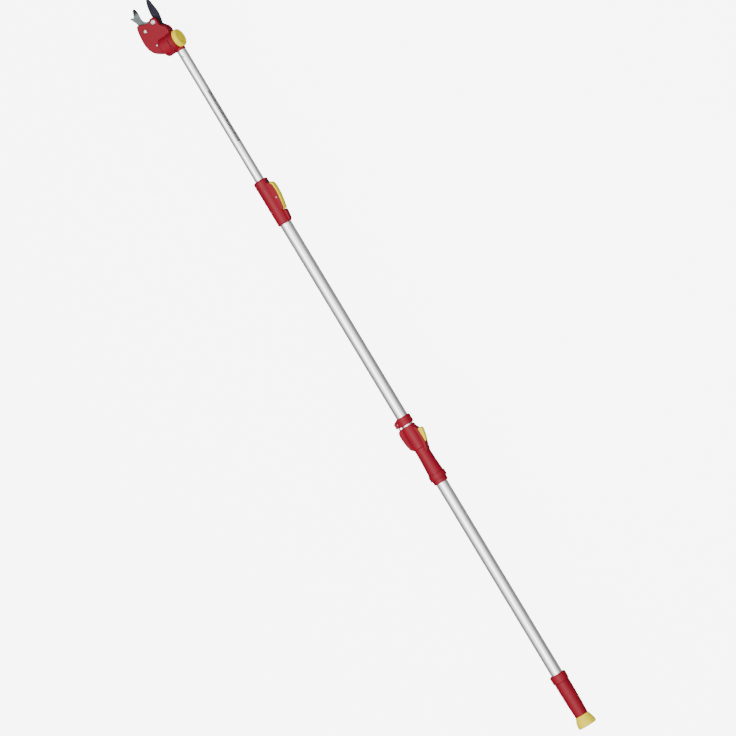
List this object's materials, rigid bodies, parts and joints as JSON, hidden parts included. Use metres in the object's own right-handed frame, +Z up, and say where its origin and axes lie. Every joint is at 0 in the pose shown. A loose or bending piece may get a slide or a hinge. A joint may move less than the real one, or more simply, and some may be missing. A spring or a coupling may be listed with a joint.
{
  "type": "telescopic tree lopper",
  "caption": "Telescopic tree lopper with a tilting bypass cutting head, a sliding pull handle with a release trigger, a lever clamp and a pull knob.",
  "frame": {"origin": "centre of the object's box in X and Y, on the floor that it lies on", "axes": "+X along the pole towards the cutting head, +Y towards the hook, +Z up, with the blades flat in XY"},
  "size_m": [2.206, 0.1164, 0.056],
  "materials": {
    "red_plastic": "moulded, fine grain, satin",
    "yellow_plastic": "moulded, satin",
    "tube_aluminium": "drawn, clear anodised",
    "fastener_steel": "zinc plated",
    "hook_steel": "ground steel, blackened at the tip",
    "blade_coating": "smooth black non-stick coating",
    "black_nylon": "moulded, matte",
    "band_webbing": "woven narrow band",
    "wiper_rubber": "matte"
  },
  "bodies": {
    "outer_pole": {"outer_tube": "tube_aluminium", "end_grip": "red_plastic", "grip_screw_side": "fastener_steel", "grip_screw_back": "fastener_steel", "rod_guide_bush": "black_nylon", "tube_mouth_bush": "black_nylon", "outlet_collar": "red_plastic", "collar_pin": "fastener_steel", "collar_screw": "fastener_steel", "clamp_sleeve": "red_plastic", "clamp_shoe": "black_nylon", "lever_pin": "fastener_steel", "cheek_screw": "fastener_steel", "sleeve_screw": "fastener_steel", "wiper_ring": "wiper_rubber", "band_tail": "band_webbing"},
    "collar_roller": {"collar_roller": "fastener_steel"},
    "clamp_lever": {"clamp_lever": "yellow_plastic"},
    "pull_knob": {"pull_knob": "yellow_plastic", "knob_screw": "fastener_steel", "pull_rod": "fastener_steel", "rod_piston": "black_nylon"},
    "slide_handle": {"handle_shell_front": "red_plastic", "handle_shell_back": "red_plastic", "handle_ring": "red_plastic", "handle_bush_lower": "black_nylon", "handle_bush_upper": "black_nylon", "handle_screw": "fastener_steel", "band_anchor": "fastener_steel", "anchor_screw": "fastener_steel", "trigger_pin": "fastener_steel", "trigger_spring": "fastener_steel"},
    "trigger": {"trigger_button": "yellow_plastic"},
    "upper_pole": {"upper_tube": "tube_aluminium", "tube_end_bush": "black_nylon", "return_roller_pin": "fastener_steel", "head_socket": "red_plastic", "socket_rivet_front": "fastener_steel", "socket_rivet_back": "fastener_steel", "tilt_washer": "fastener_steel", "tilt_bolt": "fastener_steel", "band_run": "band_webbing"},
    "return_roller": {"return_roller": "fastener_steel"},
    "tilt_knob": {"tilt_knob": "yellow_plastic", "knob_insert": "fastener_steel"},
    "head": {"head_shell_front": "red_plastic", "head_shell_back": "red_plastic", "band_anchor_pin": "fastener_steel", "pivot_bolt": "fastener_steel", "pivot_nut": "fastener_steel", "hook_screw": "fastener_steel", "shell_screw": "fastener_steel", "return_spring": "fastener_steel", "hook_blade": "hook_steel", "band_head": "band_webbing"},
    "blade": {"cutting_blade": "blade_coating", "pulley_pin": "fastener_steel"},
    "lever_pulley": {"lever_pulley": "black_nylon"}
  },
  "joints": [
    {"name": "telescope_slide", "type": "slide", "parent": "outer_pole", "child": "upper_pole", "axis": [1, 0, 0], "range_m": [-0.3, 0.8], "deforming": ["band_tail", "band_run"]},
    {"name": "return_roller_spin", "type": "hinge", "parent": "upper_pole", "child": "return_roller", "pos_m": [-0.555, -0.01585, 0.028], "axis": [0, 0, 1], "continuous": true},
    {"name": "head_tilt", "type": "hinge", "parent": "upper_pole", "child": "head", "pos_m": [0.967, -0.02285, 0.028], "axis": [0, -1, 0], "range_deg": [-110, 110]},
    {"name": "tilt_knob_turn", "type": "hinge", "parent": "upper_pole", "child": "tilt_knob", "pos_m": [0.967, -0.03585, 0.028], "axis": [0, -1, 0], "range_deg": [0, 360]},
    {"name": "blade_pivot", "type": "hinge", "parent": "head", "child": "blade", "pos_m": [1.037, -0.00035, 0.028], "axis": [0, 0, 1], "range_deg": [0, 50], "deforming": ["band_head", "return_spring"]},
    {"name": "lever_pulley_spin", "type": "hinge", "parent": "blade", "child": "lever_pulley", "pos_m": [1.01084, 0.037, 0.0206], "axis": [0, 0, 1], "continuous": true},
    {"name": "handle_slide", "type": "slide", "parent": "outer_pole", "child": "slide_handle", "axis": [-1, 0, 0], "range_m": [0, 0.4], "stiffness_N_per_m": 20},
    {"name": "trigger_press", "type": "hinge", "parent": "slide_handle", "child": "trigger", "pos_m": [-0.253, -0.04545, 0.028], "axis": [0, 0, 1], "range_deg": [0, 6], "stiffness_Nm_per_rad": 0.6, "springref_deg": -2.86, "deforming": ["trigger_spring"]},
    {"name": "collar_roller_spin", "type": "hinge", "parent": "outer_pole", "child": "collar_roller", "pos_m": [-0.184, -0.00325, 0.028], "axis": [0, 0, 1], "continuous": true},
    {"name": "clamp_lever_swing", "type": "hinge", "parent": "outer_pole", "child": "clamp_lever", "pos_m": [0.517, -0.04785, 0.028], "axis": [0, 0, 1], "range_deg": [0, 95]},
    {"name": "knob_pull", "type": "slide", "parent": "outer_pole", "child": "pull_knob", "axis": [-1, 0, 0], "range_m": [0, 0.145]}
  ],
  "couplings": [
    {"joint": "blade_pivot", "follows": "handle_slide", "rad_per_m": 2.18}
  ]
}
